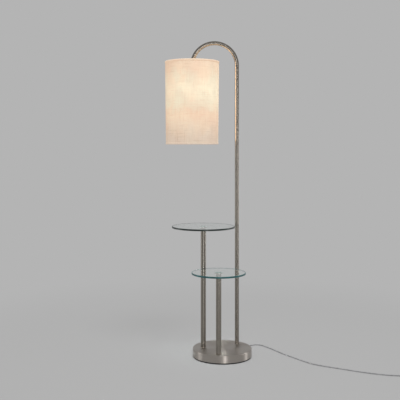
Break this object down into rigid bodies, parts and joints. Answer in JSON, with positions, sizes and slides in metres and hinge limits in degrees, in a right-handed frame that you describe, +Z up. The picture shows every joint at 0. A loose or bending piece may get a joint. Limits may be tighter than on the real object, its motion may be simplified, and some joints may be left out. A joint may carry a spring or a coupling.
{
  "type": "floor lamp with table",
  "caption": "Floor lamp whose arched stem carries a tall drum shade, with round glass shelves on shorter poles that share one weighted round base.",
  "frame": {"origin": "centre of the base's underside, on the floor", "axes": "+Z up along the poles, +X to the side of the tall stem, -Y to the front, where the lower shelf stands"},
  "size_m": [1.2215, 0.5143, 1.512],
  "materials": {
    "foot_rubber": "matt",
    "plate_paint": "satin",
    "weight_iron": "rough cast",
    "brushed_nickel": "brushed satin",
    "zinc_steel": "plain zinc",
    "clear_glass": "clear tempered, polished edge",
    "bond_clear": "clear adhesive",
    "cord_grey": "satin PVC",
    "holder_black": "satin thermoset",
    "holder_core": "white insulation",
    "contact_brass": "bright",
    "shade_cloth": "slubby linen weave",
    "shade_liner": "translucent styrene",
    "shade_wire": "white powder coat",
    "bulb_opal": "opal",
    "bulb_white": "satin",
    "bulb_cap_metal": "rolled thread",
    "switch_grey": "satin",
    "button_grey": "satin",
    "spring_steel": "bright wire",
    "plug_grey": "moulded PVC",
    "sleeve_black": "moulded",
    "tie_black": "flexible strap"
  },
  "bodies": {
    "frame": {"arch_end_insert": "zinc_steel", "arch_tube": "brushed_nickel", "base_bottom_plate": "plate_paint", "base_cover": "brushed_nickel", "base_pad": "foot_rubber", "base_screws": "zinc_steel", "base_weight": "weight_iron", "cord_coil": "cord_grey", "cord_strain_relief": "cord_grey", "cord_tie": "tie_black", "foot_washers": "zinc_steel", "head_nipple": "zinc_steel", "inner_cable": "cord_grey", "lampholder_body": "holder_black", "lampholder_cap": "holder_black", "lampholder_contact": "contact_brass", "lampholder_core": "holder_core", "lampholder_shell": "contact_brass", "lower_bond_pad": "bond_clear", "lower_hub": "brushed_nickel", "lower_shelf_glass": "clear_glass", "lower_shelf_pole": "brushed_nickel", "plug_body": "plug_grey", "plug_lead": "cord_grey", "plug_pins": "contact_brass", "plug_sleeves": "sleeve_black", "pole_bolts": "zinc_steel", "pole_foot_inserts": "zinc_steel", "pole_top_inserts": "zinc_steel", "power_cord": "cord_grey", "shade_bottom_hem": "shade_cloth", "shade_bottom_ring": "shade_wire", "shade_fabric": "shade_cloth", "shade_lining": "shade_liner", "shade_spider": "shade_wire", "shade_top_hem": "shade_cloth", "stem_foot_insert": "zinc_steel", "stem_foot_nipple": "zinc_steel", "stem_foot_nut": "zinc_steel", "stem_joint_inserts": "zinc_steel", "stem_joint_nipples": "zinc_steel", "stem_lower": "brushed_nickel", "stem_upper": "brushed_nickel", "switch_base": "switch_grey", "switch_block": "holder_core", "switch_cover": "switch_grey", "switch_lead": "cord_grey", "switch_screws": "zinc_steel", "switch_spring": "spring_steel", "switch_terminals": "contact_brass", "upper_bond_pad": "bond_clear", "upper_hub": "brushed_nickel", "upper_shelf_glass": "clear_glass", "upper_shelf_pole": "brushed_nickel"},
    "switch_button": {"switch_button": "button_grey"},
    "bulb": {"bulb_glass": "bulb_opal", "bulb_collar": "bulb_white", "bulb_screw_cap": "bulb_cap_metal", "bulb_contact": "contact_brass"},
    "shade_ring": {"shade_ring": "holder_black"}
  },
  "joints": [
    {"name": "switch_press", "type": "slide", "parent": "frame", "child": "switch_button", "axis": [0, 0, -1], "range_m": [0, 0.003], "stiffness_N_per_m": 400, "springref_m": -0.002, "deforming": ["switch_spring"]},
    {"name": "bulb_turn", "type": "hinge", "parent": "frame", "child": "bulb", "pos_m": [-0.1445, 0.069, 1.32], "axis": [0, 0, 1], "continuous": true},
    {"name": "shade_ring_turn", "type": "hinge", "parent": "frame", "child": "shade_ring", "pos_m": [-0.1445, 0.069, 1.34], "axis": [0, 0, 1], "continuous": true}
  ]
}
